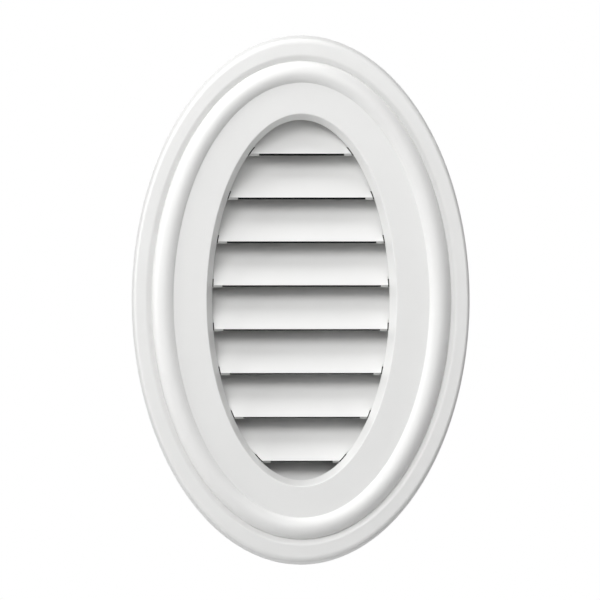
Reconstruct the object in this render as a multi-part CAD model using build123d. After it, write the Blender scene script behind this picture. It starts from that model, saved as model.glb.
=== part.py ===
from build123d import *
import os
from math import atan2, ceil, cos, degrees, hypot, pi, radians, sin, sqrt, tan

# Oval louvred gable vent, in millimetres. The wall is the XZ plane: the back of the nailing flange lies on
# it at Y = 0, the face looks along -Y and Z is up. Distances "forward" are measured from the wall towards
# -Y. Each oval is an ellipse, given by its half width and half height.

# Face ring, outline and section
ring_half_width = 268.0
ring_half_height = 419.0
side_wall_taper = 2.4
end_wall_taper = 6.3
corner_radius = 6.3
lip_radius = 1.2
siding_gap = 11.5
ring_depth = 24.5
skin = 2.6

# Face ring, width from the outline to the opening at the sides and at the two ends
ring_width_side = 117.6
ring_width_end = 124.75
return_taper_side = 9.6
return_taper_end = 8.95

# Bead and groove, measured from the bead's crest line
bead_inset_side = 49.1
bead_inset_end = 59.1
bead_radius = 19.0
bead_height = 8.75
groove_floor_offset = 18.3
groove_depth = 5.0
groove_edge_offset = 26.4

# Ribs and snap legs behind the face
rib_count = 12
rib_thickness = 2.0
leg_width = 14.0
leg_thickness = 2.4
leg_tip_clearance = 3.0
hook_reach = 1.9
hook_length = 6.5
snap_clearance = 0.3

# Sleeve, collar and nailing flange of the base
sleeve_margin = 3.2
sleeve_wall = 2.5
sleeve_front = 5.0
sleeve_back = 33.0
collar_margin = 8.0
collar_wall = 2.5
collar_height = 22.0
lip_reach = 1.8
lip_height = 2.5
leg_side_clearance = 0.6
flange_width = 62.0
flange_thickness = 2.5
flange_rim_width = 2.0
flange_rim_height = 4.0
gusset_thickness = 2.0
gusset_reach = 14.0
gusset_height = 12.0

# Louvre blades
blade_pitch = 69.46
blade_thickness = 2.6
blade_tilt = 32.0
blade_slot = 2.6
blade_nose_radius = 0.8
nose_setback = 21.5
first_nose_drop = 56.7
blade_end_gap = 1.8
tab_length_left = 16.0
tab_length_right = 13.0
tab_drop = 3.2
tab_depth = 4.5
tab_setback = 4.5
tab_slope = 2.2

# Fixing holes in the flange
slot_length = 14.0
slot_width = 4.8
slot_x = 130.0
hole_diameter = 4.8
hole_z = 80.0

# Insect screen and the studs that hold it
screen_thickness = 0.8
ridge_height = 0.3
ridge_width = 1.2
screen_cell = 33.0
screen_strip = 7.0
ledge_width = 6.5
ledge_thickness = 2.0
stud_count = 18
stud_diameter = 3.6
stud_head_diameter = 6.0
stud_head_thickness = 1.2
stud_clearance = 0.3

# Values worked out from the sizes above
overlap = 1.0
face = siding_gap + ring_depth
bead_half_width = ring_half_width - bead_inset_side
bead_half_height = ring_half_height - bead_inset_end
opening_half_width = ring_half_width - ring_width_side
opening_half_height = ring_half_height - ring_width_end
sleeve_half_width = opening_half_width - return_taper_side + sleeve_margin
sleeve_half_height = opening_half_height - return_taper_end + sleeve_margin
nose_forward = face - nose_setback
slope = tan(radians(blade_tilt))
blade_depth = blade_thickness / cos(radians(blade_tilt))
collar_outer = collar_margin + collar_wall
leg_inner = collar_outer + lip_reach + leg_side_clearance
screen_forward = -sleeve_back


def wall_plane(forward):
    """Plane parallel to the wall, looking the way the face looks."""
    return Plane((0, -forward, 0), x_dir=(1, 0, 0), z_dir=(0, -1, 0))


def oval(half_width, half_height, forward):
    """Filled ellipse parallel to the wall."""
    return wall_plane(forward) * Ellipse(half_width, half_height)


def oval_block(half_width, half_height, back, front):
    """Straight-sided oval solid between two distances from the wall."""
    return extrude(oval(half_width, half_height, back), amount=front - back)


def oval_band(inner, outer, back, front):
    """Oval ring round the sleeve's bore, its two edges given as offsets from the bore."""
    whole = oval_block(sleeve_half_width + outer, sleeve_half_height + outer, back, front)
    hole = oval_block(sleeve_half_width + inner, sleeve_half_height + inner, back - overlap, front + overlap)
    return whole - hole


def opening_cone(offset, back, front):
    """The tapered opening inside the return wall, grown by an offset."""
    def section(forward):
        share = (face - forward) / ring_depth
        return oval(
            opening_half_width - return_taper_side * share + offset,
            opening_half_height - return_taper_end * share + offset,
            forward,
        )
    return loft([section(back), section(front)], ruled=True)


def along_bead(section):
    """Sweeps a section, drawn outward and forward of the crest line, once round the oval."""
    path = Edge.make_ellipse(bead_half_width, bead_half_height, wall_plane(face))
    start = Plane((bead_half_width, -face, 0), x_dir=(1, 0, 0), z_dir=(0, 0, -1))
    return sweep(start * section, path=path)


def bead_solid(inset):
    """The round bead, a circular segment in section."""
    radius = bead_radius - inset
    centre = bead_height - bead_radius
    floor = -groove_depth - skin - inset
    circle = Pos(0, centre) * Circle(radius)
    below = Pos(0, floor - bead_radius) * Rectangle(4 * bead_radius, 2 * bead_radius)
    return along_bead(circle - below)


def groove_cutter(inset):
    """The sloped groove between the flat band and the bead, as the stock it takes away."""
    crest = 2 * skin
    return along_bead(
        make_face(
            Polyline(
                (0, crest),
                (0, -groove_depth - inset),
                (groove_floor_offset - inset, -groove_depth - inset),
                (groove_edge_offset - inset / 2, -inset),
                (groove_edge_offset - inset / 2, crest),
                close=True,
            )
        )
    )


def ring_form(inset):
    """The face ring as a solid lump, with its skin moved in by an inset and its back left open."""
    back = siding_gap - (overlap if inset else 0)
    body = loft(
        [
            oval(ring_half_width - inset, ring_half_height - inset, back),
            oval(
                ring_half_width - side_wall_taper - inset,
                ring_half_height - end_wall_taper - inset,
                face - inset,
            ),
        ],
        ruled=True,
    )
    front_edge = body.edges().sort_by(Axis.Y)[0]
    body = fillet(front_edge, corner_radius - inset)
    draft = atan2(return_taper_side, ring_depth)
    body -= opening_cone(inset / cos(draft), back - overlap, face + overlap)
    if not inset:
        flat_edges = body.edges().filter_by(lambda edge: abs(edge.center().Y + face) < overlap / 10)
        body = fillet(flat_edges.sort_by(SortBy.LENGTH)[0], lip_radius)
    return body - groove_cutter(inset) + bead_solid(inset)


def outward(angle, offset):
    """Place and direction on an oval round the sleeve, at an angle, looking outward."""
    half_width = sleeve_half_width + offset
    half_height = sleeve_half_height + offset
    x, z = half_width * cos(angle), half_height * sin(angle)
    return x, z, degrees(atan2(z / half_height**2, x / half_width**2))


def spread(count, phase):
    """Angles for pieces spaced evenly by length round the sleeve."""
    steps = 720
    angles = [2 * pi * i / steps for i in range(steps + 1)]
    reach = [0.0]
    for first, second in zip(angles, angles[1:]):
        reach.append(
            reach[-1]
            + hypot(
                sleeve_half_width * (cos(second) - cos(first)),
                sleeve_half_height * (sin(second) - sin(first)),
            )
        )
    wanted = [reach[-1] * (i + phase) / count for i in range(count)]
    return [angles[min(range(steps + 1), key=lambda n: abs(reach[n] - goal))] for goal in wanted]


def fin(angle, offset, length, thickness, back, front):
    """Flat plate that stands square to the sleeve's edge and runs outward from an offset."""
    x, z, turn = outward(angle, offset)
    plate = Box(length, thickness, front - back, align=(Align.MIN, Align.CENTER, Align.MIN))
    return wall_plane(back) * Pos(x, z) * Rot(0, 0, turn) * plate


def ring_ribs():
    """Ribs across the hollow back, which also stop the ring on the collar's front edge."""
    back = collar_height + snap_clearance
    reach = max(ring_width_side, ring_width_end)
    plates = [
        fin(angle, -sleeve_margin, reach + sleeve_margin, rib_thickness, back, face + bead_height)
        for angle in spread(rib_count, 0.5)
    ]
    return Compound(children=plates) & ring_form(skin / 2)


def snap_legs():
    """Legs that reach back past the collar, each with a hook that closes behind its lip."""
    back = flange_thickness + leg_tip_clearance
    skirt = oval_band(leg_inner, leg_inner + leg_thickness, back, face - skin / 2)
    hook_front = collar_height - lip_height - snap_clearance
    hook_back = hook_front - hook_length
    hook = oval_block(
        sleeve_half_width + leg_inner + overlap, sleeve_half_height + leg_inner + overlap, hook_back, hook_front
    )
    bore = loft(
        [
            oval(sleeve_half_width + leg_inner, sleeve_half_height + leg_inner, hook_back),
            oval(
                sleeve_half_width + leg_inner - hook_reach,
                sleeve_half_height + leg_inner - hook_reach,
                hook_front,
            ),
        ],
        ruled=True,
    )
    keep = [
        fin(angle, collar_margin, 4 * collar_wall + leg_thickness, leg_width, back, face)
        for angle in spread(rib_count, 0.0)
    ]
    return (skirt + (hook - bore)) & Compound(children=keep)


def surround_ring():
    """Snap-on face moulding."""
    return ring_form(0) - ring_form(skin) + ring_ribs() + snap_legs()


def blade_noses():
    """Heights of the blades' front lower edges, from the top down, until the opening is filled."""
    first = sleeve_half_height - first_nose_drop
    count = ceil((first + blade_pitch - blade_slot + sleeve_half_height) / blade_pitch)
    return [first - blade_pitch * i for i in range(count)]


def profile_bar(points, low_x, high_x, rounded=0.0):
    """Bar along X with a section drawn in forward and height, its first corner rounded if asked."""
    section = make_face(Polyline(*points, close=True))
    if rounded:
        front = section.vertices().sort_by(Axis.X)[-1]
        section = fillet(front, rounded)
    end = Plane((high_x, 0, 0), x_dir=(0, -1, 0), z_dir=(-1, 0, 0))
    return extrude(end * section, amount=high_x - low_x)


def blade_bar(nose):
    """One blade, longer than the opening is wide."""
    rise = blade_pitch - blade_slot
    points = [
        (nose_forward, nose),
        (nose_forward - rise * slope, nose + rise),
        (nose_forward - rise * slope - blade_depth, nose + rise),
        (nose_forward - blade_depth, nose),
    ]
    return profile_bar(points, -sleeve_half_width, sleeve_half_width, blade_nose_radius)


def tab_bars(nose):
    """The two small tabs that hang under a blade's front edge at its ends."""
    front = nose_forward - tab_setback
    root = nose + (tab_setback - blade_depth / 2) / slope
    points = [
        (front, root),
        (front - tab_slope, nose - tab_drop),
        (front - tab_depth, nose - tab_drop),
        (front - tab_depth, root + tab_depth / slope),
    ]
    share = 1 - (nose / (opening_half_height - return_taper_end)) ** 2
    end = (opening_half_width - return_taper_side) * sqrt(max(share, 0))
    bars = []
    if end > tab_length_left:
        bars.append(profile_bar(points, -sleeve_half_width, tab_length_left - end))
        bars.append(profile_bar(points, end - tab_length_right, sleeve_half_width))
    return bars


def blades():
    """All blades, cut to the sleeve behind and clear of the return wall in front."""
    room = oval_block(
        sleeve_half_width + sleeve_wall / 2, sleeve_half_height + sleeve_wall / 2, -sleeve_back, sleeve_front
    ) + oval_block(
        opening_half_width - return_taper_side - blade_end_gap,
        opening_half_height - return_taper_end - blade_end_gap,
        sleeve_front - overlap,
        nose_forward + overlap,
    )
    bars = []
    for nose in blade_noses():
        bars.append(blade_bar(nose))
        bars.extend(tab_bars(nose))
    return Compound(children=bars) & room


def flange_middle(x=None, z=None):
    """Point midway across the open part of the flange, from its X or its Z."""
    offset = (leg_inner + leg_thickness + flange_width) / 2
    half_width, half_height = sleeve_half_width + offset, sleeve_half_height + offset
    if z is None:
        return x, half_height * sqrt(1 - (x / half_width) ** 2)
    return half_width * sqrt(1 - (z / half_height) ** 2), z


def fixing_holes():
    """Four slots near the corners, four round holes at the sides and one at the top and the bottom."""
    drill = Cylinder(hole_diameter / 2, 3 * flange_thickness)
    slot = extrude(SlotOverall(slot_length, slot_width), 3 * flange_thickness, both=True)
    slot_at, hole_at, end_at = flange_middle(x=slot_x), flange_middle(z=hole_z), flange_middle(x=0.0)
    cuts = [Pos(0, side * end_at[1]) * drill for side in (-1, 1)]
    for across in (-1, 1):
        for up in (-1, 1):
            cuts.append(Pos(across * slot_at[0], up * slot_at[1]) * slot)
            cuts.append(Pos(across * hole_at[0], up * hole_at[1]) * drill)
    return [wall_plane(flange_thickness / 2) * cut for cut in cuts]


def collar_gussets():
    """Triangular webs that stiffen the corner between flange and collar, between the snap legs."""
    webs = []
    for angle in spread(rib_count, 0.5):
        x, z, turn = outward(angle, collar_outer - overlap)
        web = make_face(
            Polyline((0, 0), (gusset_reach + overlap, 0), (overlap, gusset_height), (0, gusset_height), close=True)
        )
        plate = extrude(Plane.XZ * web, gusset_thickness / 2, both=True)
        webs.append(wall_plane(flange_thickness - overlap) * Pos(x, z) * Rot(0, 0, turn) * plate)
    return webs


def screen_studs():
    """Pins on the back ledge, their ends melted over the screen into flat heads."""
    pins = []
    for angle in spread(stud_count, 0.5):
        x, z, _ = outward(angle, (sleeve_wall - ledge_width + sleeve_wall) / 2)
        pin = Cylinder(stud_diameter / 2, ledge_thickness + screen_thickness + stud_head_thickness)
        head = Pos(0, 0, -(ledge_thickness + screen_thickness) / 2) * Cylinder(
            stud_head_diameter / 2, stud_head_thickness
        )
        centre = screen_forward + (ledge_thickness - screen_thickness - stud_head_thickness) / 2
        pins.append(wall_plane(centre) * Pos(x, z) * (pin + head))
    return pins


def louvre_base():
    """The moulding that goes on the wall: sleeve, flange, collar and louvre blades."""
    body = oval_band(0, sleeve_wall, -sleeve_back, sleeve_front)
    body += oval_band(sleeve_wall - ledge_width, sleeve_wall, -sleeve_back, ledge_thickness - sleeve_back)
    body += oval_band(overlap, flange_width, 0, flange_thickness)
    body += oval_band(flange_width - flange_rim_width, flange_width, 0, flange_rim_height)
    body += oval_band(collar_margin, collar_outer, flange_thickness - overlap, collar_height)
    body += oval_band(
        collar_outer - overlap, collar_outer + lip_reach, collar_height - lip_height, collar_height
    )
    body = body + blades() + collar_gussets() + screen_studs()
    return body - fixing_holes()


def screen_gaps():
    """Square gaps over the middle of the screen, on an even grid."""
    rim = sleeve_wall - ledge_width
    gap = screen_cell - screen_strip
    columns = int(sleeve_half_width // screen_cell) + 1
    rows = int(sleeve_half_height // screen_cell) + 1
    places = []
    for column in range(-columns, columns + 1):
        for row in range(-rows, rows + 1):
            x, z = column * screen_cell, row * screen_cell
            far = hypot(
                (abs(x) + gap / 2) / (sleeve_half_width + rim - ridge_width),
                (abs(z) + gap / 2) / (sleeve_half_height + rim - ridge_width),
            )
            if far < 1:
                places.append(Pos(x, z) * Rectangle(gap, gap))
    return extrude(Sketch() + places, 2 * screen_thickness, both=True)


def screen_ridges():
    """Raised lines along the strips between the gaps, on both sides, for the woven wires."""
    rim = sleeve_wall - ledge_width - ridge_width
    half_width, half_height = sleeve_half_width + rim, sleeve_half_height + rim
    height = 2 * ridge_height + screen_thickness
    ridges = []
    for column in range(-ceil(half_width / screen_cell), ceil(half_width / screen_cell)):
        x = (column + 0.5) * screen_cell
        if abs(x) + ridge_width < half_width:
            length = 2 * half_height * sqrt(1 - ((abs(x) + ridge_width / 2) / half_width) ** 2)
            ridges.append(Pos(x, 0) * Box(ridge_width, length, height))
    for row in range(-ceil(half_height / screen_cell), ceil(half_height / screen_cell)):
        z = (row + 0.5) * screen_cell
        if abs(z) + ridge_width < half_height:
            length = 2 * half_width * sqrt(1 - ((abs(z) + ridge_width / 2) / half_height) ** 2)
            ridges.append(Pos(0, z) * Box(length, ridge_width, height))
    return ridges


def insect_screen():
    """Screen over the back of the sleeve, held by the studs."""
    sheet = oval_block(
        sleeve_half_width + sleeve_wall,
        sleeve_half_height + sleeve_wall,
        screen_forward - screen_thickness,
        screen_forward,
    )
    middle = wall_plane(screen_forward - screen_thickness / 2)
    sheet = sheet + [middle * ridge for ridge in screen_ridges()] - middle * screen_gaps()
    bore = Cylinder(stud_diameter / 2 + stud_clearance, 3 * screen_thickness)
    for angle in spread(stud_count, 0.5):
        x, z, _ = outward(angle, (sleeve_wall - ledge_width + sleeve_wall) / 2)
        sheet -= middle * Pos(x, z) * bore
    return sheet


os.makedirs("parts", exist_ok=True)
export_step(surround_ring(), "parts/surround_ring.step")
export_step(louvre_base(), "parts/louvre_base.step")
export_step(insect_screen(), "parts/insect_screen.step")
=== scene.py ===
"""Oval louvred gable vent: every piece modelled in full and dressed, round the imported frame."""

import logging
import math
from contextlib import contextmanager
from dataclasses import dataclass
from enum import Enum
from typing import Callable, Iterator, Sequence

import bmesh
import bpy
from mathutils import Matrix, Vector

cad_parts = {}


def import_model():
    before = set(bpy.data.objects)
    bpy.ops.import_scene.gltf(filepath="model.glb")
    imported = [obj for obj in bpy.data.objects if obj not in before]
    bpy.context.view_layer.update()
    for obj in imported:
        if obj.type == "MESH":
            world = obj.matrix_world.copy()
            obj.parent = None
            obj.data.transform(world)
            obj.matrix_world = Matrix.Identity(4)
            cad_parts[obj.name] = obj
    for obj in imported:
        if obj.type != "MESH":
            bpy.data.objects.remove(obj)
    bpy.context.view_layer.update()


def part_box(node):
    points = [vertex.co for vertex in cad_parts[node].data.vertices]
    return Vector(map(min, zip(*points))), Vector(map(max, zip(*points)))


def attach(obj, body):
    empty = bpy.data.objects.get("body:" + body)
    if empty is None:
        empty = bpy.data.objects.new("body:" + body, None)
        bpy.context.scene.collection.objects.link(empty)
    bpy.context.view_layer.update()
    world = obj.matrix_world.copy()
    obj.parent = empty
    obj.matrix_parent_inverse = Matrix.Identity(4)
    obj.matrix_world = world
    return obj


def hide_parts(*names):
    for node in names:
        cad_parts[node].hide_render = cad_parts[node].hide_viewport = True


MM = 0.001
QUARTER_TURN = math.pi / 2
OVAL_SEGMENTS = 288
WELD_DISTANCE = 0.002 * MM
SHARP_ANGLE = math.radians(35.0)
BODY = "root"
LOG = logging.getLogger("gable_vent")


class Slot(Enum):
    """Material slots of the record, one for each of the vent's three pieces."""

    RING = "ring_white"
    LOUVRES = "louvre_white"
    SCREEN = "screen_mesh"


class Node(Enum):
    """CAD nodes that the dressed pieces stand for."""

    RING = "surround_ring"
    BASE = "louvre_base"
    SCREEN = "insect_screen"


class Hand(Enum):
    """The two ends of a louvre blade, as signs along X."""

    LEFT = -1
    RIGHT = 1


class Run(Enum):
    """The two directions of the screen's wires, as the turn about Y from the X axis."""

    WEFT = 0.0
    WARP = -QUARTER_TURN


# Ovals and edit-mode work


@dataclass(frozen=True)
class Oval:
    """An oval line parallel to the wall, given by its half sizes and its distance forward of it."""

    half_width: float
    half_height: float
    forward: float

    def grown(self, offset: float, forward: float = 0.0) -> "Oval":
        """The oval made larger by an offset all round and moved forward.

        Args:
            offset: what is added to both half sizes.
            forward: how far the new line stands in front of this one.

        Returns:
            The new oval.
        """
        return Oval(self.half_width + offset, self.half_height + offset, self.forward + forward)

    def at(self, forward: float) -> "Oval":
        """The same oval at another distance forward of the wall."""
        return Oval(self.half_width, self.half_height, forward)

    def point(self, angle: float) -> Vector:
        """The point of the line at an angle of its ellipse."""
        across, up = math.cos(angle), math.sin(angle)
        return Vector((self.half_width * across, -self.forward, self.half_height * up))

    def facing(self, angle: float) -> float:
        """The direction square to the line at that angle, as a turn from +X towards +Z."""
        return math.atan2(math.sin(angle) / self.half_height, math.cos(angle) / self.half_width)

    def half_chord(self, height: float) -> float:
        """Half the oval's width at a height, and nothing above or below it."""
        return self.half_width * math.sqrt(max(0.0, 1.0 - (height / self.half_height) ** 2))

    def spread(self, count: int, phase: float) -> list[float]:
        """Angles of places that are evenly spaced by length round the line.

        Args:
            count: how many places there are.
            phase: share of a step by which the first one is moved on.

        Returns:
            The ellipse angles of the places.
        """
        steps = 720
        angles = [2 * math.pi * step / steps for step in range(steps + 1)]
        reach = [0.0]
        for first, second in zip(angles, angles[1:]):
            reach.append(reach[-1] + (self.point(second) - self.point(first)).length)
        goals = [reach[-1] * (place + phase) / count for place in range(count)]
        return [angles[min(range(steps + 1), key=lambda n: abs(reach[n] - goal))] for goal in goals]


def select_only(*pieces: bpy.types.Object) -> None:
    """Deselects everything, then selects these pieces and makes the first one active."""
    bpy.ops.object.select_all(action="DESELECT")
    for piece in pieces:
        piece.select_set(True)
    bpy.context.view_layer.objects.active = pieces[0]


@contextmanager
def editing(piece: bpy.types.Object) -> Iterator[None]:
    """Edit mode on one piece, with all of it selected at the start."""
    select_only(piece)
    bpy.ops.object.mode_set(mode="EDIT")
    bpy.ops.mesh.select_all(action="SELECT")
    yield
    bpy.ops.object.mode_set(mode="OBJECT")


def pick_edges(piece: bpy.types.Object, wanted: Callable[[Vector, Vector], bool]) -> None:
    """Selects, in edit mode, only the edges whose two ends pass a test.

    Args:
        piece: the mesh that is being edited.
        wanted: says yes or no to the places of an edge's two ends.
    """
    bpy.ops.mesh.select_all(action="DESELECT")
    bpy.ops.mesh.select_mode(type="EDGE")
    mesh = bmesh.from_edit_mesh(piece.data)
    for edge in mesh.edges:
        edge.select_set(wanted(edge.verts[0].co, edge.verts[1].co))
    bmesh.update_edit_mesh(piece.data)


def flat_at(forward: float) -> Callable[[Vector, Vector], bool]:
    """A test for the edges that lie wholly at one distance forward of the wall."""
    def at_forward(first: Vector, second: Vector) -> bool:
        return max(abs(first.y + forward), abs(second.y + forward)) < WELD_DISTANCE

    return at_forward


def bevel_oval(piece: bpy.types.Object, line: Oval, width: float, segments: int) -> None:
    """Rounds the corner that runs along an oval line.

    Args:
        piece: the mesh, in edit mode.
        line: where the sharp corner runs.
        width: how far the rounding reaches each way.
        segments: how many faces it has.
    """
    near = 0.05 * MM

    def on_line(point: Vector) -> bool:
        share = math.hypot(point.x / line.half_width, point.z / line.half_height)
        return abs(point.y + line.forward) < near and abs(share - 1.0) * line.half_width < near

    pick_edges(piece, lambda first, second: on_line(first) and on_line(second))
    bpy.ops.mesh.bevel(offset=width, segments=segments, profile=0.5, affect="EDGES")


def oval_skin(name: str, lines: Sequence[Oval], closed: bool = False) -> bpy.types.Object:
    """Models a moulding from a circle, extruded and resized from one oval line to the next.

    Args:
        name: the new object's name.
        lines: the oval lines of the moulding's section, in order.
        closed: whether the section comes back to its first line.

    Returns:
        The new object, at the origin, with its normals pointing outwards.
    """
    bpy.ops.object.select_all(action="DESELECT")
    bpy.ops.mesh.primitive_circle_add(vertices=OVAL_SEGMENTS, radius=1.0, rotation=(QUARTER_TURN, 0, 0))
    piece = bpy.context.active_object
    piece.name = name
    bpy.ops.object.transform_apply(location=True, rotation=True, scale=True)
    with editing(piece):
        first = lines[0]
        bpy.ops.transform.resize(value=(first.half_width, 1, first.half_height), center_override=(0, 0, 0))
        bpy.ops.transform.translate(value=(0, -first.forward, 0))
        stops = [*lines[1:], first] if closed else lines[1:]
        for here, there in zip(lines, stops):
            step = {"value": (0, here.forward - there.forward, 0)}
            bpy.ops.mesh.extrude_edges_move(TRANSFORM_OT_translate=step)
            ratio = (there.half_width / here.half_width, 1, there.half_height / here.half_height)
            bpy.ops.transform.resize(value=ratio, center_override=(0, 0, 0))
        bpy.ops.mesh.select_all(action="SELECT")
        bpy.ops.mesh.remove_doubles(threshold=WELD_DISTANCE)
        bpy.ops.mesh.normals_make_consistent(inside=False)
    return piece


def oval_plug(name: str, lines: Sequence[Oval]) -> bpy.types.Object:
    """A solid core inside oval lines, its two ends closed flat, to cut other pieces with."""
    piece = oval_skin(name, lines)
    with editing(piece):
        for end in (lines[0], lines[-1]):
            pick_edges(piece, flat_at(end.forward))
            bpy.ops.mesh.edge_face_add()
        bpy.ops.mesh.select_all(action="SELECT")
        bpy.ops.mesh.normals_make_consistent(inside=False)
    return piece


def block(name: str, low: Sequence[float], high: Sequence[float]) -> bpy.types.Object:
    """A box between two corners, as the start of a rib, blade or leg.

    Args:
        name: the new object's name.
        low: its lowest X, Y and Z.
        high: its highest X, Y and Z.

    Returns:
        The new object, at the origin.
    """
    bpy.ops.object.select_all(action="DESELECT")
    centre = [(a + b) / 2 for a, b in zip(low, high)]
    bpy.ops.mesh.primitive_cube_add(size=1.0, location=centre)
    piece = bpy.context.active_object
    piece.name = name
    piece.scale = [b - a for a, b in zip(low, high)]
    bpy.ops.object.transform_apply(location=True, rotation=True, scale=True)
    return piece


def move_edge(piece: bpy.types.Object, low: Vector, high: Vector, by: Sequence[float]) -> None:
    """Slides the edges or faces of a box that lie wholly between two corners.

    Args:
        piece: the box.
        low: lowest corner of the space that holds them.
        high: its highest corner.
        by: how far they move.
    """
    def inside(point: Vector) -> bool:
        return all(a - WELD_DISTANCE <= c <= b + WELD_DISTANCE for a, c, b in zip(low, point, high))

    with editing(piece):
        pick_edges(piece, lambda first, second: inside(first) and inside(second))
        bpy.ops.transform.translate(value=by)


def placed_copy(master: bpy.types.Object, place: Vector, turn: float = 0.0) -> bpy.types.Object:
    """Copies a piece with its own mesh, turns it about Y and puts it in its place.

    Args:
        master: the piece that was modelled at the origin, reaching along +X.
        place: where its origin goes.
        turn: turn from +X towards +Z.

    Returns:
        The copy, with its place in its mesh.
    """
    select_only(master)
    bpy.ops.object.duplicate(linked=False)
    twin = bpy.context.active_object
    twin.location = place
    twin.rotation_euler = (0.0, -turn, 0.0)
    bpy.ops.object.transform_apply(location=True, rotation=True, scale=True)
    return twin


def bar_through(name: str, place: Vector, diameter: float, length: float) -> bpy.types.Object:
    """A round bar square to the wall.

    Args:
        name: the new object's name.
        place: its middle.
        diameter: its diameter.
        length: its length along Y.

    Returns:
        The new object, at the origin.
    """
    bpy.ops.object.select_all(action="DESELECT")
    bpy.ops.mesh.primitive_cylinder_add(
        vertices=24, radius=diameter / 2, depth=length, location=place, rotation=(QUARTER_TURN, 0, 0)
    )
    piece = bpy.context.active_object
    piece.name = name
    bpy.ops.object.transform_apply(location=True, rotation=True, scale=True)
    return piece


def carried_round(
    master: bpy.types.Object, line: Oval, angles: Sequence[float], name: str
) -> bpy.types.Object:
    """Sets copies of a piece along an oval line, each turned to face outwards, and joins them.

    Args:
        master: the piece that was modelled at the origin, reaching along +X, which is thrown away.
        line: where the copies' origins go.
        angles: the ellipse angles of their places.
        name: the name of the joined object.

    Returns:
        All copies as one object.
    """
    flat = line.at(0.0)
    copies = [placed_copy(master, flat.point(angle), flat.facing(angle)) for angle in angles]
    discard(master)
    return joined(copies, name)


def discard(piece: bpy.types.Object) -> None:
    """Removes a piece that was only a pattern or a cutter."""
    bpy.data.objects.remove(piece)


def joined(pieces: Sequence[bpy.types.Object], name: str) -> bpy.types.Object:
    """Joins pieces into one object of that name."""
    select_only(*pieces)
    if len(pieces) > 1:
        bpy.ops.object.join()
    pieces[0].name = name
    return pieces[0]


def apply_modifier(piece: bpy.types.Object, kind: str, **settings: object) -> None:
    """Adds a modifier with its settings and applies it.

    Args:
        piece: the object it works on.
        kind: Blender's name for the modifier's type.
        settings: what is set on it.
    """
    select_only(piece)
    bpy.ops.object.modifier_add(type=kind)
    modifier = piece.modifiers[-1]
    for key, value in settings.items():
        setattr(modifier, key, value)
    bpy.ops.object.modifier_apply(modifier=modifier.name)


def cut(piece: bpy.types.Object, tool: bpy.types.Object, operation: str) -> None:
    """Boolean of a piece with a tool, which is then thrown away."""
    apply_modifier(piece, "BOOLEAN", object=tool, operation=operation, solver="EXACT")
    discard(tool)


def finish_surface(piece: bpy.types.Object) -> None:
    """Smooth shading that keeps real corners sharp and flat faces flat."""
    select_only(piece)
    bpy.ops.object.shade_smooth_by_angle(angle=SHARP_ANGLE)
    apply_modifier(piece, "WEIGHTED_NORMAL", mode="FACE_AREA", keep_sharp=True)


# Finishes


def linear(hex_colour: str) -> tuple[float, float, float, float]:
    """The linear colour that a shader reads, from an sRGB hex value."""
    parts = [int(hex_colour[i : i + 2], 16) / 255 for i in (1, 3, 5)]
    return (*[c / 12.92 if c <= 0.04045 else ((c + 0.055) / 1.055) ** 2.4 for c in parts], 1.0)


def add_node(
    tree: bpy.types.NodeTree,
    kind: str,
    links: dict[str | int, bpy.types.NodeSocket] | None = None,
    **settings: object,
) -> bpy.types.Node:
    """Adds one shader node with its settings and links.

    Args:
        tree: the node tree it goes in.
        kind: the node's type name.
        links: output sockets, by the name or number of the input that each one feeds.
        settings: values by attribute name, or by input name with _ for a space.

    Returns:
        The new node.
    """
    node = tree.nodes.new(kind)
    for key, value in settings.items():
        if hasattr(node, key):
            setattr(node, key, value)
        else:
            node.inputs[key.replace("_", " ")].default_value = value
    for name, source in (links or {}).items():
        tree.links.new(source, node.inputs[name])
    return node


def new_tree(name: str) -> tuple[bpy.types.Material, bpy.types.NodeTree]:
    """A material with an empty node tree."""
    material = bpy.data.materials.new(name)
    material.use_nodes = True
    material.node_tree.nodes.clear()
    return material, material.node_tree


@dataclass(frozen=True)
class MouldedPolypropylene:
    """Injection-moulded, UV-stable polypropylene, coloured right through.

    The mould's fine satin texture breaks the highlights up softly, slow flow marks change the gloss a
    little from place to place, and the pigment is a very slightly warm white.
    """

    name: str
    pigment: str
    shade: str
    roughness: float
    grain: float = 0.9 * MM
    grain_depth: float = 0.02 * MM
    grain_strength: float = 0.5
    flow_mark: float = 70 * MM
    gloss_change: float = 0.06
    refraction: float = 1.49

    def material(self) -> bpy.types.Material:
        """Builds the node tree and returns the material."""
        material, tree = new_tree(self.name)
        place = add_node(tree, "ShaderNodeTexCoord").outputs["Object"]
        flow = add_node(
            tree, "ShaderNodeTexNoise", {"Vector": place},
            Scale=1 / self.flow_mark, Detail=3.0, Roughness=0.5,
        )
        tint = add_node(tree, "ShaderNodeMix", {"Factor": flow.outputs["Fac"]}, data_type="RGBA")
        tint.inputs[6].default_value = linear(self.pigment)
        tint.inputs[7].default_value = linear(self.shade)
        gloss = add_node(
            tree, "ShaderNodeMapRange", {"Value": flow.outputs["Fac"]},
            To_Min=self.roughness - self.gloss_change, To_Max=self.roughness + self.gloss_change,
        )
        # Mould texture of about 0.3 mm, drawn three times as coarse so that it shows.
        grain = add_node(
            tree, "ShaderNodeTexNoise", {"Vector": place},
            Scale=1 / self.grain, Detail=2.0, Roughness=0.6,
        )
        bump = add_node(
            tree, "ShaderNodeBump", {"Height": grain.outputs["Fac"]},
            Strength=self.grain_strength, Distance=self.grain_depth,
        )
        shader = add_node(
            tree, "ShaderNodeBsdfPrincipled",
            {
                "Base Color": tint.outputs[2],
                "Roughness": gloss.outputs["Result"],
                "Normal": bump.outputs["Normal"],
            },
            IOR=self.refraction,
        )
        add_node(tree, "ShaderNodeOutputMaterial", {"Surface": shader.outputs["BSDF"]})
        return material


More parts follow.
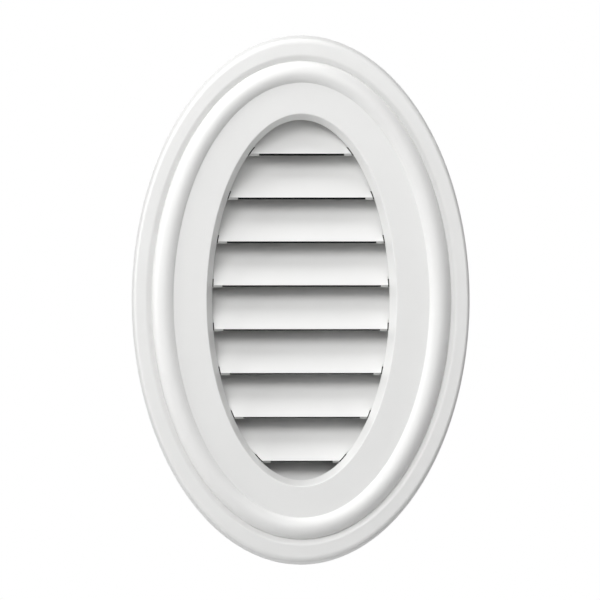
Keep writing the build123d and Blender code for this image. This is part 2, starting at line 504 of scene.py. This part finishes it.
@dataclass(frozen=True)
class CoatedScreenWire:
    """Charcoal vinyl over woven glass yarn: dull, with a faint rubbery shine and chalky high spots."""

    name: str = "vinyl_coated_screen_wire"
    coating: str = "#26272a"
    worn: str = "#3a3b3e"
    roughness: float = 0.55
    mottle: float = 5 * MM
    refraction: float = 1.53

    def material(self) -> bpy.types.Material:
        """Builds the node tree and returns the material."""
        material, tree = new_tree(self.name)
        place = add_node(tree, "ShaderNodeTexCoord").outputs["Object"]
        spots = add_node(tree, "ShaderNodeTexNoise", {"Vector": place}, Scale=1 / self.mottle, Detail=4.0)
        tint = add_node(tree, "ShaderNodeMix", {"Factor": spots.outputs["Fac"]}, data_type="RGBA")
        tint.inputs[6].default_value = linear(self.coating)
        tint.inputs[7].default_value = linear(self.worn)
        shader = add_node(
            tree, "ShaderNodeBsdfPrincipled", {"Base Color": tint.outputs[2]},
            Roughness=self.roughness, IOR=self.refraction,
        )
        add_node(tree, "ShaderNodeOutputMaterial", {"Surface": shader.outputs["BSDF"]})
        return material


def dress(
    piece: bpy.types.Object, finish: MouldedPolypropylene | CoatedScreenWire, node: Node
) -> bpy.types.Object:
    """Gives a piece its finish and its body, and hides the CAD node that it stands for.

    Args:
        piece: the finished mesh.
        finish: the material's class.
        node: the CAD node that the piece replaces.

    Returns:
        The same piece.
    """
    piece.data.materials.clear()
    piece.data.materials.append(finish.material())
    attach(piece, BODY)
    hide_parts(node.value)
    return piece


# The face moulding


@dataclass
class FaceMoulding:
    """The snap-on face: a hollow-backed oval moulding with ribs and snap legs behind."""

    rear: Oval
    bore: Oval
    depth: float
    siding_gap: float = 11.5 * MM
    skin: float = 2.6 * MM
    wall_taper_side: float = 2.4 * MM
    wall_taper_end: float = 6.3 * MM
    band_inset_side: float = 7.05 * MM
    band_inset_end: float = 14.55 * MM
    corner_height: float = 6.3 * MM
    corner_steps: int = 10
    bead_inset_side: float = 49.1 * MM
    bead_inset_end: float = 59.1 * MM
    bead_radius: float = 19.0 * MM
    bead_height: float = 8.75 * MM
    bead_steps: int = 24
    groove_floor_offset: float = 18.3 * MM
    groove_depth: float = 5.0 * MM
    groove_edge_offset: float = 26.4 * MM
    width_side: float = 117.6 * MM
    width_end: float = 124.75 * MM
    return_taper_side: float = 9.6 * MM
    return_taper_end: float = 8.95 * MM
    lip_radius: float = 1.3 * MM
    cove_radius: float = 0.6 * MM
    groove_edge_rounding: float = 2.2 * MM
    groove_floor_rounding: float = 0.4 * MM
    rib_count: int = 12
    rib_thickness: float = 2.0 * MM
    rib_back: float = 22.3 * MM
    rib_start: float = -3.2 * MM
    leg_width: float = 14.0 * MM
    leg_thickness: float = 2.4 * MM
    leg_offset: float = 12.9 * MM
    leg_back: float = 5.5 * MM
    hook_reach: float = 1.9 * MM
    hook_back: float = 12.7 * MM
    hook_front: float = 19.2 * MM
    hook_tip: float = 0.08 * MM

    def __post_init__(self) -> None:
        """Works out the oval lines that the section turns on."""
        rear = self.rear
        self.face = rear.forward + self.depth
        share = 1.0 - self.corner_height / self.depth
        self.wall_top = Oval(
            rear.half_width - self.wall_taper_side * share,
            rear.half_height - self.wall_taper_end * share,
            self.face - self.corner_height,
        )
        self.band = self.inset(self.band_inset_side, self.band_inset_end)
        self.crest = self.inset(self.bead_inset_side, self.bead_inset_end)
        self.groove_edge = self.crest.grown(self.groove_edge_offset)
        self.groove_floor = self.crest.grown(self.groove_floor_offset, -self.groove_depth)
        self.opening = self.inset(self.width_side, self.width_end)
        self.return_rear = Oval(
            self.opening.half_width - self.return_taper_side,
            self.opening.half_height - self.return_taper_end,
            rear.forward,
        )

    def inset(self, side: float, end: float) -> Oval:
        """The line on the face that lies so far in from the outline at the sides and at the ends."""
        return Oval(self.rear.half_width - side, self.rear.half_height - end, self.face)

    def corner_lines(self) -> list[Oval]:
        """The rounded outer corner, from the side wall over to the flat band."""
        lines = []
        for step in range(self.corner_steps + 1):
            angle = QUARTER_TURN * step / self.corner_steps
            out, up = math.cos(angle), math.sin(angle)
            lines.append(
                Oval(
                    self.band.half_width + (self.wall_top.half_width - self.band.half_width) * out,
                    self.band.half_height + (self.wall_top.half_height - self.band.half_height) * out,
                    self.wall_top.forward + self.corner_height * up,
                )
            )
        return lines

    def bead_lines(self) -> list[Oval]:
        """The round bead, from the groove's floor over its crest to the flat ring."""
        outer = math.asin(self.groove_floor_offset / self.bead_radius)
        inner = -math.acos(1.0 - self.bead_height / self.bead_radius)
        lines = []
        for step in range(self.bead_steps + 1):
            angle = outer + (inner - outer) * step / self.bead_steps
            height = self.bead_height - self.bead_radius * (1.0 - math.cos(angle))
            lines.append(self.crest.grown(self.bead_radius * math.sin(angle), height))
        return lines

    def front_skin(self) -> bpy.types.Object:
        """The whole visible surface, as one open skin."""
        bead = self.bead_lines()
        lines = [self.rear, *self.corner_lines(), self.groove_edge, *bead, self.opening, self.return_rear]
        return oval_skin("face_moulding", lines)

    def hollow_core(self, skin: bpy.types.Object) -> bpy.types.Object:
        """The room inside the moulding, up to the middle of its wall, to trim the ribs with.

        Args:
            skin: the open front skin.

        Returns:
            A closed core.
        """
        core = placed_copy(skin, Vector())
        with editing(core):
            bpy.ops.mesh.select_all(action="DESELECT")
            bpy.ops.mesh.select_non_manifold()
            bpy.ops.mesh.bridge_edge_loops()
            bpy.ops.mesh.select_all(action="SELECT")
            bpy.ops.mesh.normals_make_consistent(inside=False)
            bpy.ops.transform.shrink_fatten(value=-self.skin / 2)
        return core

    def ribs(self, core: bpy.types.Object) -> bpy.types.Object:
        """Flat ribs that stand across the hollow, trimmed to it.

        Args:
            core: the room inside the moulding.

        Returns:
            All ribs as one object.
        """
        length = max(self.width_side, self.width_end) - self.rib_start
        half = self.rib_thickness / 2
        plate = block("rib", (0, -self.face - self.bead_height, -half), (length, -self.rib_back, half))
        angles = self.bore.spread(self.rib_count, 0.5)
        ribs = carried_round(plate, self.bore.grown(self.rib_start), angles, "ribs")
        cut(ribs, core, "INTERSECT")
        return ribs

    def legs(self) -> bpy.types.Object:
        """Snap legs, each with a wedge-shaped hook on its inner side."""
        half = self.leg_width / 2
        inner, outer = 0.0, self.leg_thickness
        front = self.face - self.skin / 2
        leg = block("leg", (inner, -front, -half), (outer, -self.leg_back, half))
        hook = block("hook", (-self.hook_reach, -self.hook_front, -half), (inner, -self.hook_back, half))
        back_inner = Vector((-self.hook_reach, -self.hook_back, -half))
        back_outer = back_inner + Vector((0, 0, self.leg_width))
        move_edge(hook, back_inner, back_outer, (self.hook_reach - self.hook_tip, 0, 0))
        master = joined([leg, hook], "snap_leg")
        angles = self.bore.spread(self.rib_count, 0.0)
        return carried_round(master, self.bore.grown(self.leg_offset), angles, "snap_legs")

    def build(self) -> bpy.types.Object:
        """Models the moulding with its ribs and legs and returns it."""
        skin = self.front_skin()
        ribs = self.ribs(self.hollow_core(skin))
        apply_modifier(skin, "SOLIDIFY", thickness=self.skin, offset=-1.0, use_even_offset=True)
        with editing(skin):
            bead_foot = self.crest.grown(-self.bead_half_width())
            bevel_oval(skin, self.opening, self.lip_radius, segments=5)
            bevel_oval(skin, bead_foot, self.cove_radius, segments=4)
            bevel_oval(skin, self.groove_edge, self.groove_edge_rounding, segments=6)
            bevel_oval(skin, self.groove_floor, self.groove_floor_rounding, segments=3)
        moulding = joined([skin, ribs, self.legs()], "face_moulding")
        finish_surface(moulding)
        return moulding

    def bead_half_width(self) -> float:
        """Half the bead's width where it meets the flat ring."""
        fall = self.bead_radius - self.bead_height
        return math.sqrt(self.bead_radius**2 - fall**2)

    def dress(self, piece: bpy.types.Object) -> bpy.types.Object:
        """Gives the moulding its satin white finish."""
        finish = MouldedPolypropylene("satin_moulded_polypropylene_face", "#e6e6e5", "#e2e2e1", 0.42)
        return dress(piece, finish, Node.RING)


# The louvre base


@dataclass
class LouvreBase:
    """The moulding on the wall: sleeve, nailing flange, collar, louvre blades and screen studs."""

    bore: Oval
    opening_rear: Oval
    sleeve_wall: float = 2.5 * MM
    sleeve_front: float = 5.0 * MM
    sleeve_back: float = 33.0 * MM
    ledge_reach: float = 4.0 * MM
    ledge_thickness: float = 2.0 * MM
    flange_width: float = 62.0 * MM
    flange_thickness: float = 2.5 * MM
    rim_width: float = 2.0 * MM
    rim_height: float = 4.0 * MM
    collar_inner: float = 8.0 * MM
    collar_outer: float = 10.5 * MM
    collar_height: float = 22.0 * MM
    lip_reach: float = 1.8 * MM
    lip_height: float = 2.5 * MM
    gusset_reach: float = 14.0 * MM
    gusset_height: float = 12.0 * MM
    gusset_thickness: float = 2.0 * MM
    gusset_count: int = 12
    gusset_overlap: float = 1.0 * MM
    blade_pitch: float = 69.46 * MM
    blade_slot: float = 2.6 * MM
    blade_tilt: float = math.radians(32.0)
    blade_thickness: float = 2.6 * MM
    blade_count: int = 9
    nose_radius: float = 0.8 * MM
    nose_forward: float = 14.5 * MM
    first_nose_drop: float = 56.7 * MM
    end_gap: float = 1.8 * MM
    nose_allowance: float = 1.0 * MM
    tab_length_left: float = 16.0 * MM
    tab_length_right: float = 13.0 * MM
    tab_drop: float = 3.2 * MM
    tab_depth: float = 4.5 * MM
    tab_setback: float = 4.5 * MM
    tab_slope: float = 2.2 * MM
    stud_count: int = 18
    stud_diameter: float = 3.6 * MM
    stud_head_diameter: float = 6.0 * MM
    stud_head_thickness: float = 1.2 * MM
    stud_crown: float = 0.8 * MM
    screen_thickness: float = 0.8 * MM
    hole_diameter: float = 4.8 * MM
    slot_length: float = 14.0 * MM
    slot_x: float = 130.0 * MM
    hole_z: float = 80.0 * MM
    hole_offset: float = 38.65 * MM
    edge_rounding: float = 0.35 * MM
    edge_angle: float = math.radians(50.0)

    @property
    def blade_depth(self) -> float:
        """How deep a blade is, square to the wall."""
        return self.blade_thickness / math.cos(self.blade_tilt)

    def shell(self) -> bpy.types.Object:
        """Sleeve, ledge, flange, rim, collar and lip, as one section carried round the oval."""
        wall, lip = self.sleeve_wall, self.collar_outer + self.lip_reach
        rim = self.flange_width - self.rim_width
        section = [
            (-self.ledge_reach, -self.sleeve_back),
            (wall, -self.sleeve_back),
            (wall, 0.0),
            (self.flange_width, 0.0),
            (self.flange_width, self.rim_height),
            (rim, self.rim_height),
            (rim, self.flange_thickness),
            (self.collar_outer, self.flange_thickness),
            (self.collar_outer, self.collar_height - self.lip_height),
            (lip, self.collar_height - self.lip_height),
            (lip, self.collar_height),
            (self.collar_inner, self.collar_height),
            (self.collar_inner, self.flange_thickness),
            (wall, self.flange_thickness),
            (wall, self.sleeve_front),
            (0.0, self.sleeve_front),
            (0.0, self.ledge_thickness - self.sleeve_back),
            (-self.ledge_reach, self.ledge_thickness - self.sleeve_back),
        ]
        shell = oval_skin("louvre_base", [self.bore.grown(*point) for point in section], closed=True)
        cut(shell, self.fixing_cutters(), "DIFFERENCE")
        apply_modifier(
            shell, "BEVEL", width=self.edge_rounding, segments=2, limit_method="ANGLE",
            angle_limit=self.edge_angle,
        )
        return shell

    def fixing_cutters(self) -> bpy.types.Object:
        """Drills for the flange: four slots near the corners and six round holes."""
        length = 4 * self.flange_thickness
        middle = self.bore.grown(self.hole_offset)
        slot_z = middle.half_height * math.sqrt(1 - (self.slot_x / middle.half_width) ** 2)
        hole_x = middle.half_chord(self.hole_z)
        cutters = []
        for up in (-1, 1):
            place = Vector((0, 0, up * middle.half_height))
            cutters.append(bar_through("hole", place, self.hole_diameter, length))
            for across in (-1, 1):
                place = Vector((across * hole_x, 0, up * self.hole_z))
                cutters.append(bar_through("hole", place, self.hole_diameter, length))
                place = Vector((across * self.slot_x, 0, up * slot_z))
                cutters.append(self.slot_cutter(place, length))
        return joined(cutters, "fixing_cutters")

    def slot_cutter(self, place: Vector, length: float) -> bpy.types.Object:
        """A drill whose two halves are moved apart along X, to cut a slot.

        Args:
            place: the slot's middle.
            length: how long the drill is.

        Returns:
            The drill.
        """
        slot = bar_through("slot", place, self.hole_diameter, length)
        spread = (self.slot_length - self.hole_diameter) / 2
        reach = self.hole_diameter / 2
        for side in (-1, 1):
            low = place + Vector((min(0, side) * reach, -length, -reach))
            high = place + Vector((max(0, side) * reach, length, reach))
            move_edge(slot, low, high, (side * spread, 0, 0))
        return slot

    def room(self) -> bpy.types.Object:
        """The space that the blades fill: the sleeve, and in front the opening less the end gap."""
        inside = self.bore.grown(self.sleeve_wall / 2)
        clear = self.opening_rear.grown(-self.end_gap)
        lines = [inside.at(-self.sleeve_back), inside.at(self.sleeve_front)]
        lines += [clear.at(self.sleeve_front), clear.at(self.nose_forward + self.nose_allowance)]
        return oval_plug("room", lines)

    def blade(self) -> bpy.types.Object:
        """One blade, longer than the opening is wide, its nose at the origin."""
        rise = self.blade_pitch - self.blade_slot
        reach = self.bore.half_width
        front = -self.nose_forward
        rear = front + self.blade_depth
        bar = block("blade", (-reach, front, 0.0), (reach, rear, rise))
        back = rise * math.tan(self.blade_tilt)
        move_edge(bar, Vector((-reach, front, rise)), Vector((reach, rear, rise)), (0, back, 0))
        with editing(bar):
            at_front = flat_at(self.nose_forward)
            pick_edges(bar, lambda a, b: at_front(a, b) and max(a.z, b.z) < WELD_DISTANCE)
            bpy.ops.mesh.bevel(offset=self.nose_radius, segments=5, profile=0.5, affect="EDGES")
        return bar

    def tab(self, hand: Hand, nose: float) -> bpy.types.Object:
        """The small tab that hangs under a blade's front edge at one end.

        Args:
            hand: which end of the blade.
            nose: the height of the blade's front edge.

        Returns:
            The tab, running on into the sleeve's wall.
        """
        end = self.opening_rear.half_chord(nose)
        length = self.tab_length_left if hand is Hand.LEFT else self.tab_length_right
        first, second = sorted((hand.value * (end - length), hand.value * self.bore.half_width))
        front = -self.nose_forward + self.tab_setback
        back, bottom = front + self.tab_depth, nose - self.tab_drop
        slope = math.tan(self.blade_tilt)
        root = nose + (self.tab_setback - self.blade_depth / 2) / slope
        bar = block("tab", (first, front, bottom), (second, back, root))
        toe = Vector((first, front, bottom)), Vector((second, front, bottom))
        move_edge(bar, *toe, (0, self.tab_slope, 0))
        rise = self.tab_depth / slope
        move_edge(bar, Vector((first, back, root)), Vector((second, back, root)), (0, 0, rise))
        return bar

    def blades(self) -> bpy.types.Object:
        """All blades and their tabs, trimmed to the room that they have."""
        master = self.blade()
        first = self.bore.half_height - self.first_nose_drop
        noses = [first - self.blade_pitch * index for index in range(self.blade_count)]
        bars = [placed_copy(master, Vector((0, 0, nose))) for nose in noses]
        discard(master)
        blades = joined(bars, "blades")
        cut(blades, self.room(), "INTERSECT")
        tabs = []
        for nose in noses:
            if self.opening_rear.half_chord(nose) > self.tab_length_left:
                tabs.extend(self.tab(hand, nose) for hand in Hand)
        trimmed = joined(tabs, "tabs")
        cut(trimmed, self.room(), "INTERSECT")
        return joined([blades, trimmed], "blades")

    def gussets(self) -> bpy.types.Object:
        """Triangular webs between the flange and the collar."""
        overlap = self.gusset_overlap
        half, reach = self.gusset_thickness / 2, self.gusset_reach + overlap
        base = -self.flange_thickness + overlap
        top = base - self.gusset_height
        web = block("gusset", (0, top, -half), (reach, base, half))
        low, high = Vector((reach, top, -half)), Vector((reach, top, half))
        move_edge(web, low, high, (-self.gusset_reach, 0, 0))
        angles = self.bore.spread(self.gusset_count, 0.5)
        return carried_round(web, self.bore.grown(self.collar_outer - overlap), angles, "gussets")

    def stud_places(self) -> list[Vector]:
        """Where the studs stand, along the middle of the back ledge."""
        middle = self.bore.grown((self.sleeve_wall - self.ledge_reach) / 2)
        return [middle.point(angle) for angle in self.bore.spread(self.stud_count, 0.5)]

    def studs(self) -> bpy.types.Object:
        """Pins on the back ledge, each melted over the screen into a flat domed head."""
        pin_length = self.ledge_thickness + self.screen_thickness + self.stud_head_thickness / 2
        start = self.sleeve_back - self.ledge_thickness
        pin = bar_through("pin", Vector((0, start + pin_length / 2, 0)), self.stud_diameter, pin_length)
        seat = self.sleeve_back + self.screen_thickness
        head = bar_through(
            "head", Vector((0, seat + self.stud_head_thickness / 2, 0)),
            self.stud_head_diameter, self.stud_head_thickness,
        )
        crown = seat + self.stud_head_thickness
        with editing(head):
            pick_edges(head, flat_at(-crown))
            bpy.ops.mesh.bevel(offset=self.stud_crown, segments=3, affect="EDGES")
        master = joined([pin, head], "stud")
        studs = [placed_copy(master, place) for place in self.stud_places()]
        discard(master)
        return joined(studs, "studs")

    def build(self) -> bpy.types.Object:
        """Models the whole base and returns it as one piece."""
        base = joined([self.shell(), self.blades(), self.gussets(), self.studs()], "louvre_moulding")
        finish_surface(base)
        return base

    def dress(self, piece: bpy.types.Object) -> bpy.types.Object:
        """Gives the base a rougher satin white, a touch darker than the face's as painted shade for the
        recess between the blades.
        """
        # The pigment is a touch darker than the face's: painted shade for the recess between the blades.
        finish = MouldedPolypropylene("satin_moulded_polypropylene_louvres", "#e3e3e2", "#dfdfde", 0.5)
        return dress(piece, finish, Node.BASE)


# The insect screen


@dataclass
class InsectScreen:
    """Woven screen on the back of the sleeve, its edge fused into a flat rim."""

    edge: Oval
    stud_places: Sequence[Vector]
    thickness: float = 0.8 * MM
    rim_width: float = 7.7 * MM
    wire_bite: float = 0.6 * MM
    pitch: float = 3.6 * MM
    wire_radius: float = 0.35 * MM
    stud_bore: float = 4.2 * MM
    merge_distance: float = 0.02 * MM

    @property
    def middle(self) -> float:
        """The middle of the screen's thickness, along Y."""
        return -self.edge.forward - self.thickness / 2

    def wave(self, run: Run) -> bpy.types.Object:
        """Two steps of one wire, over a crossing wire and under the next.

        Args:
            run: which way the wire runs.

        Returns:
            An open square tube along the run's direction, from one crossing to the next but one.
        """
        bpy.ops.object.select_all(action="DESELECT")
        bpy.ops.mesh.primitive_circle_add(
            vertices=4, radius=self.wire_radius,
            location=(0, -self.wire_radius, 0), rotation=(0, QUARTER_TURN, 0),
        )
        wave = bpy.context.active_object
        bpy.ops.object.transform_apply(location=True, rotation=True, scale=True)
        swing = 2 * self.wire_radius
        with editing(wave):
            for rise in (swing, -swing):
                step = {"value": (self.pitch, rise, 0)}
                bpy.ops.mesh.extrude_edges_move(TRANSFORM_OT_translate=step)
        wave.rotation_euler = (0.0, run.value, 0.0)
        bpy.ops.object.transform_apply(location=True, rotation=True, scale=True)
        return wave

    def wires(self, run: Run) -> bpy.types.Object:
        """All wires of one direction, each as long as the screen is there.

        Args:
            run: which way they run.

        Returns:
            The wires as one object.
        """
        room = self.edge.grown(self.wire_bite - self.rim_width)
        along, across = room.half_width, room.half_height
        if run is Run.WARP:
            along, across = across, along
        wave = self.wave(run)
        count = int(across // self.pitch)
        wires = []
        for row in range(-count, count + 1):
            half = along * math.sqrt(1 - (row * self.pitch / across) ** 2)
            steps = int(half // (2 * self.pitch)) * 2
            if steps < 2:
                continue
            start, side = -steps * self.pitch, row * self.pitch
            place = (side, self.middle, start) if run is Run.WARP else (start, self.middle, side)
            wire = placed_copy(wave, Vector(place))
            # Neighbouring wires, and the two directions, take turns on top.
            if (row % 2 == 0) == (run is Run.WARP):
                flip_through(wire, self.middle)
            offset = (0, 0, 2 * self.pitch) if run is Run.WARP else (2 * self.pitch, 0, 0)
            apply_modifier(
                wire, "ARRAY", count=steps, use_relative_offset=False, use_constant_offset=True,
                constant_offset_displace=offset, use_merge_vertices=True, merge_threshold=self.merge_distance,
            )
            wires.append(wire)
        discard(wave)
        woven = joined(wires, "wires_" + run.name.lower())
        with editing(woven):
            bpy.ops.mesh.fill_holes(sides=4)
            bpy.ops.mesh.normals_make_consistent(inside=False)
        return woven

    def rim(self) -> bpy.types.Object:
        """The flat fused edge, with the bores for the studs."""
        inner = self.edge.grown(-self.rim_width)
        lines = [inner, self.edge, self.edge.grown(0, self.thickness), inner.grown(0, self.thickness)]
        rim = oval_skin("rim", lines, closed=True)
        drills = []
        for place in self.stud_places:
            centre = Vector((place.x, self.middle, place.z))
            drills.append(bar_through("stud_bore", centre, self.stud_bore, 4 * self.thickness))
        cut(rim, joined(drills, "stud_bores"), "DIFFERENCE")
        return rim

    def build(self) -> bpy.types.Object:
        """Models the screen and returns it as one piece."""
        return joined([self.rim(), self.wires(Run.WARP), self.wires(Run.WEFT)], "woven_screen")

    def dress(self, piece: bpy.types.Object) -> bpy.types.Object:
        """Gives the screen its charcoal coating."""
        return dress(piece, CoatedScreenWire(), Node.SCREEN)


def flip_through(wire: bpy.types.Object, middle: float) -> None:
    """Mirrors a wire through the middle of the screen, so that it goes under where it went over."""
    with editing(wire):
        bpy.ops.transform.resize(value=(1, -1, 1), center_override=(0, middle, 0))


# Studio


@dataclass(frozen=True)
class Softbox:
    """A square soft lamp that faces the middle of the vent."""

    name: str
    place: tuple[float, float, float]
    size: float
    power: float

    def build(self) -> bpy.types.Object:
        """Adds the lamp and returns it."""
        light = bpy.data.lights.new(self.name, "AREA")
        light.shape, light.size, light.energy = "SQUARE", self.size, self.power
        lamp = bpy.data.objects.new(self.name, light)
        bpy.context.scene.collection.objects.link(lamp)
        lamp.location = self.place
        lamp.rotation_mode = "QUATERNION"
        lamp.rotation_quaternion = (-Vector(self.place)).to_track_quat("-Z", "Y")
        lamp.visible_camera = False
        return lamp


@dataclass
class Studio:
    """Pale floor, a dark card of painted shade behind the louvres, white surroundings, soft lamps and the
    camera.
    """

    bore: Oval
    floor_drop: float = 1.6
    floor_size: float = 7.0
    floor_colour: str = "#e2e2e2"
    # Colour of the painted shade that shows through the slots between the blades.
    painted_shade_colour: str = "#343435"
    interior_setback: float = 30.7 * MM
    interior_clearance: float = 0.2 * MM
    fill_below: float = 0.0
    fill_above: float = 0.02
    camera_distance: float = 12.0
    camera_reach: float = 100.0
    camera_azimuth: float = math.radians(-3.2)
    camera_elevation: float = math.radians(0.5)
    frame_width: float = 0.949
    aim: tuple[float, float, float] = (-2.1 * MM, -24 * MM, 0.3 * MM)
    sensor: float = 36.0
    softboxes: tuple[Softbox, ...] = (
        Softbox("left_softbox", (-4.2, -1.2, 0.8), 2.2, 80.0),
        Softbox("top_softbox", (-0.3, -1.2, 4.2), 2.2, 84.0),
        Softbox("key_softbox", (-1.8, -3.8, 2.6), 2.2, 113.0),
        Softbox("front_softbox", (0.3, -4.1, 1.6), 2.2, 44.0),
        Softbox("right_softbox", (2.9, -2.6, 2.4), 3.0, 10.0),
        Softbox("back_softbox", (0.0, 4.5, 0.6), 1.4, 130.0),
    )

    def floor(self) -> bpy.types.Object:
        """A pale matt floor below the vent."""
        bpy.ops.object.select_all(action="DESELECT")
        bpy.ops.mesh.primitive_plane_add(size=self.floor_size, location=(0, 0, -self.floor_drop))
        floor = bpy.context.active_object
        floor.name = "studio_floor"
        material, tree = new_tree("matt_studio_paper")
        shader = add_node(tree, "ShaderNodeBsdfDiffuse", Color=linear(self.floor_colour))
        add_node(tree, "ShaderNodeOutputMaterial", {"Surface": shader.outputs["BSDF"]})
        floor.data.materials.append(material)
        return floor

    def interior(self) -> bpy.types.Object:
        """Painted shade behind the louvres: a dark card that stands for the unlit room, clear when it is seen
        from behind.
        """
        card = self.bore.grown(-self.interior_clearance).at(-self.interior_setback)
        bpy.ops.object.select_all(action="DESELECT")
        bpy.ops.mesh.primitive_circle_add(
            vertices=96, radius=1.0, fill_type="NGON",
            rotation=(QUARTER_TURN, 0, 0), location=(0, -card.forward, 0),
        )
        board = bpy.context.active_object
        board.name = "painted_shade_card"
        board.scale = (card.half_width, card.half_height, 1.0)
        bpy.ops.object.transform_apply(location=True, rotation=True, scale=True)
        material, tree = new_tree("painted_shade_room")
        behind = add_node(tree, "ShaderNodeNewGeometry").outputs["Backfacing"]
        # Painted shade: the card's dark diffuse colour stands in for the shadowed room seen through the
        # slots.
        dark = add_node(tree, "ShaderNodeBsdfDiffuse", Color=linear(self.painted_shade_colour))
        clear = add_node(tree, "ShaderNodeBsdfTransparent")
        mixed = add_node(tree, "ShaderNodeMixShader", {"Fac": behind})
        tree.links.new(dark.outputs["BSDF"], mixed.inputs[1])
        tree.links.new(clear.outputs["BSDF"], mixed.inputs[2])
        add_node(tree, "ShaderNodeOutputMaterial", {"Surface": mixed.outputs["Shader"]})
        board.data.materials.append(material)
        return board

    def surroundings(self) -> bpy.types.World:
        """White to the eye and in reflections; otherwise a grey fill that comes more from above."""
        world = bpy.data.worlds.new("studio_surroundings")
        world.use_nodes = True
        tree = world.node_tree
        tree.nodes.clear()
        path = add_node(tree, "ShaderNodeLightPath").outputs
        seen = add_node(
            tree, "ShaderNodeMath", {0: path["Is Camera Ray"], 1: path["Is Glossy Ray"]}, operation="MAXIMUM"
        )
        clear = add_node(
            tree, "ShaderNodeMath", {0: seen.outputs[0], 1: path["Is Transmission Ray"]}, operation="MAXIMUM"
        )
        direction = add_node(tree, "ShaderNodeTexCoord").outputs["Generated"]
        height = add_node(tree, "ShaderNodeSeparateXYZ", {"Vector": direction}).outputs["Z"]
        fill = add_node(
            tree, "ShaderNodeMapRange", {"Value": height},
            From_Min=-1.0, From_Max=1.0, To_Min=self.fill_below, To_Max=self.fill_above,
        )
        strength = add_node(
            tree, "ShaderNodeMix", {"Factor": clear.outputs[0], 2: fill.outputs["Result"]}, data_type="FLOAT"
        )
        strength.inputs[3].default_value = 1.0
        background = add_node(tree, "ShaderNodeBackground", {"Strength": strength.outputs[0]})
        background.inputs["Color"].default_value = (1.0, 1.0, 1.0, 1.0)
        add_node(tree, "ShaderNodeOutputWorld", {"Surface": background.outputs["Background"]})
        bpy.context.scene.world = world
        return world

    def camera(self) -> bpy.types.Object:
        """The long-lens camera of the photograph, a little left of square on."""
        data = bpy.data.cameras.new("camera")
        data.sensor_width = self.sensor
        data.lens = self.sensor * self.camera_distance / self.frame_width
        data.clip_end = self.camera_reach
        camera = bpy.data.objects.new("camera", data)
        bpy.context.scene.collection.objects.link(camera)
        flat = math.cos(self.camera_elevation)
        across, out = math.sin(self.camera_azimuth) * flat, math.cos(self.camera_azimuth) * flat
        back = Vector((across, -out, math.sin(self.camera_elevation)))
        camera.location = Vector(self.aim) + back * self.camera_distance
        camera.rotation_mode = "QUATERNION"
        camera.rotation_quaternion = (-back).to_track_quat("-Z", "Y")
        bpy.context.scene.camera = camera
        return camera

    def build(self) -> None:
        """Sets the whole studio up."""
        self.floor()
        self.interior()
        self.surroundings()
        for softbox in self.softboxes:
            softbox.build()
        self.camera()
        bpy.context.scene.view_settings.view_transform = "Standard"


def report(piece: bpy.types.Object) -> None:
    """Logs a piece's name and how many triangles it has."""
    triangles = sum(len(face.vertices) - 2 for face in piece.data.polygons)
    LOG.info("%s: %d triangles", piece.name, triangles)


def main() -> None:
    """Loads the frame, then builds and dresses each piece and the studio."""
    logging.basicConfig(level=logging.INFO, format="%(name)s %(message)s")
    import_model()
    ring_low, ring_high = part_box(Node.RING.value)
    base_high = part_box(Node.BASE.value)[1]
    screen_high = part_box(Node.SCREEN.value)[1]
    bore = Oval(base_high.x, base_high.z, 0.0).grown(-LouvreBase.flange_width)
    rear = Oval(ring_high.x, ring_high.z, FaceMoulding.siding_gap)
    ring = FaceMoulding(rear, bore, depth=-ring_low.y - FaceMoulding.bead_height - rear.forward)
    base = LouvreBase(bore, ring.return_rear)
    screen_edge = Oval(screen_high.x, screen_high.z, -base.sleeve_back - base.screen_thickness)
    screen = InsectScreen(screen_edge, base.stud_places())
    for part in (ring, base, screen):
        report(part.dress(part.build()))
    Studio(bore).build()


if __name__ == "__main__":
    main()
